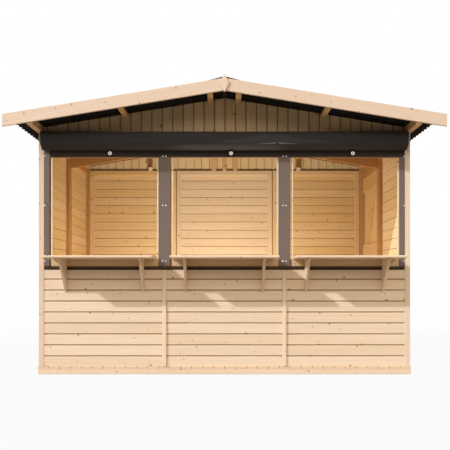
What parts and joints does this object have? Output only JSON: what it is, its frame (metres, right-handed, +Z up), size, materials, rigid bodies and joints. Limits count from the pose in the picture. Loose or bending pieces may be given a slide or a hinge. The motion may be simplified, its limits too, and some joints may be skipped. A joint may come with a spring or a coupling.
{
  "type": "wooden kiosk",
  "caption": "Low-gabled wooden sales kiosk with counter windows, shelves on brackets, a rolled cover above, corrugated roof sheets and a hinged side door.",
  "frame": {"origin": "on the ground, in the middle of the outline", "axes": "+X to the right seen from the front, +Y from the counter front to the back, +Z up"},
  "size_m": [3.298, 2.284, 2.2718],
  "materials": {
    "timber": "planed, untreated spruce",
    "frame_timber": "planed, untreated spruce",
    "dark_facing": "anthracite paint",
    "cover_cloth": "coated cloth, matt",
    "roofing": "black corrugated sheet, matt",
    "iron": "galvanised, dull"
  },
  "bodies": {
    "kiosk": {"floor_bearers": "timber", "floor_boards": "timber", "counter_boards_left": "timber", "counter_boards_middle": "timber", "counter_boards_right": "timber", "counter_frame": "frame_timber", "window_frame": "frame_timber", "window_sill_facing": "dark_facing", "window_post_facings": "dark_facing", "window_header_facing": "dark_facing", "rolled_cover": "cover_cloth", "panel_joint_battens": "timber", "corner_posts": "timber", "left_boards_front": "timber", "left_boards_rear": "timber", "left_wall_frame": "frame_timber", "right_boards_front": "timber", "right_boards_beside_door": "timber", "right_boards_over_door": "timber", "right_wall_frame": "frame_timber", "back_boards_left": "timber", "back_boards_middle": "timber", "back_boards_right": "timber", "back_wall_frame": "frame_timber", "front_gable_boards": "timber", "rear_gable_boards": "timber", "gable_posts": "frame_timber", "eave_purlins": "frame_timber", "middle_purlins": "frame_timber", "ridge_purlins": "frame_timber", "middle_rafters": "frame_timber", "roof_sheet_left": "roofing", "roof_sheet_right": "roofing", "ridge_cap": "roofing", "front_bargeboard_left": "timber", "front_bargeboard_right": "timber", "rear_bargeboard_left": "timber", "rear_bargeboard_right": "timber", "apex_plates": "timber", "shelf_left": "timber", "shelf_middle": "timber", "shelf_right": "timber", "shelf_brackets": "timber", "door_hinge_plates": "iron"},
    "door": {"door_boards": "timber", "door_ledges": "frame_timber", "door_handle": "iron", "door_hinge_straps": "iron"}
  },
  "joints": [
    {"name": "door_hinge", "type": "hinge", "parent": "kiosk", "child": "door", "pos_m": [1.479, 0.735, 0.94], "axis": [0, 0, 1], "range_deg": [0, 105]}
  ]
}
